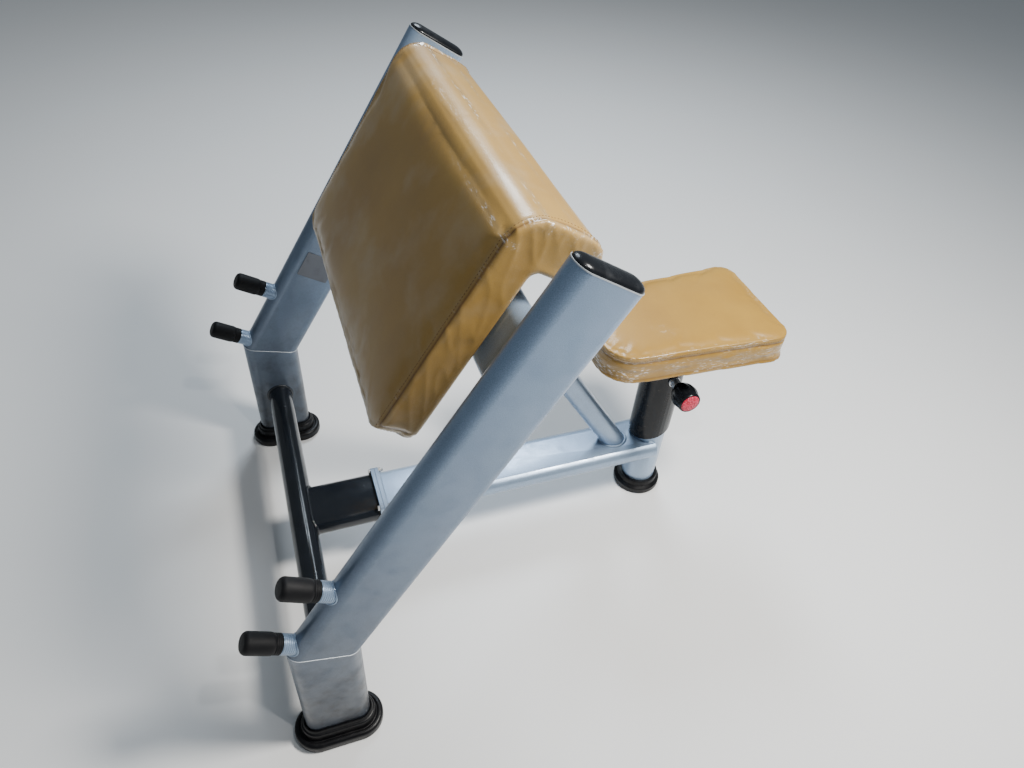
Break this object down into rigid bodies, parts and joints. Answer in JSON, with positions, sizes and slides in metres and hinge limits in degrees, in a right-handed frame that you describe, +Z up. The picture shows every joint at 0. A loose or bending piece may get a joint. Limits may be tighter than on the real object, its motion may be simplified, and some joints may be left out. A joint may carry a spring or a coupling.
{
  "type": "preacher curl bench",
  "caption": "Preacher curl bench: two inclined side frames with low bar rests, a wide sloping arm pad, and a seat on a telescoping post locked by a spring pull pin.",
  "frame": {"origin": "on the floor, below the centre of the bench's bounding box", "axes": "+X from the bar rests towards the seat (the length), +Y towards the right hand of the seated user (the width), +Z up"},
  "size_m": [1.1083, 0.856, 0.9659],
  "materials": {
    "silver_paint": "silver-grey metallic paint, satin",
    "black_paint": "black powder coat, semi-gloss",
    "black_plastic": "black moulded plastic, glossy",
    "rubber": "black rubber, matt",
    "chrome": "chrome plate, polished",
    "zinc": "zinc-plated steel, satin",
    "nylon": "off-white nylon, matt",
    "plywood": "birch plywood, unfinished",
    "tan_leather": "tan synthetic leather over foam, stitched, still in clear film",
    "red_plastic": "red moulded plastic, pebbled",
    "aluminium": "plain aluminium plate, blank"
  },
  "bodies": {
    "frame": {"side_frame_left": "silver_paint", "end_cap_left": "black_plastic", "front_boot_left": "rubber", "peg_rod_left_lower": "zinc", "peg_collar_left_lower": "silver_paint", "peg_grip_left_lower": "rubber", "pad_screw_left_lower": "zinc", "peg_rod_left_upper": "zinc", "peg_collar_left_upper": "silver_paint", "peg_grip_left_upper": "rubber", "pad_screw_left_upper": "zinc", "pad_bracket_left": "silver_paint", "side_frame_right": "silver_paint", "end_cap_right": "black_plastic", "front_boot_right": "rubber", "peg_rod_right_lower": "zinc", "peg_collar_right_lower": "silver_paint", "peg_grip_right_lower": "rubber", "pad_screw_right_lower": "zinc", "peg_rod_right_upper": "zinc", "peg_collar_right_upper": "silver_paint", "peg_grip_right_upper": "rubber", "pad_screw_right_upper": "zinc", "pad_bracket_right": "silver_paint", "data_plate": "aluminium", "cross_tube": "black_paint", "front_stub": "black_paint", "flange_front": "silver_paint", "flange_rear": "silver_paint", "base_tube": "silver_paint", "cross_beam": "silver_paint", "brace_tube": "silver_paint", "arm_pad_board": "plywood", "arm_pad_cushion": "tan_leather", "seat_post": "silver_paint", "rear_foot": "rubber", "post_sleeve": "black_plastic", "post_bush": "nylon", "pin_housing": "zinc", "flange_bolt_1": "zinc", "flange_nut_1": "zinc", "flange_bolt_2": "zinc", "flange_nut_2": "zinc", "flange_bolt_3": "zinc", "flange_nut_3": "zinc", "flange_bolt_4": "zinc", "flange_nut_4": "zinc"},
    "seat": {"seat_tube": "chrome", "seat_tube_glide": "nylon", "seat_plate": "black_paint", "seat_board": "plywood", "seat_cushion": "tan_leather", "seat_screw_1": "zinc", "seat_screw_2": "zinc", "seat_screw_3": "zinc", "seat_screw_4": "zinc"},
    "pull_pin": {"pull_pin": "chrome", "pull_knob": "black_plastic", "knob_cap": "red_plastic"}
  },
  "joints": [
    {"name": "seat_height", "type": "slide", "parent": "frame", "child": "seat", "axis": [0, 0, 1], "range_m": [0, 0.15]},
    {"name": "pin_pull", "type": "slide", "parent": "frame", "child": "pull_pin", "axis": [0, -1, 0], "range_m": [0, 0.01], "stiffness_N_per_m": 600, "springref_m": -0.01}
  ]
}
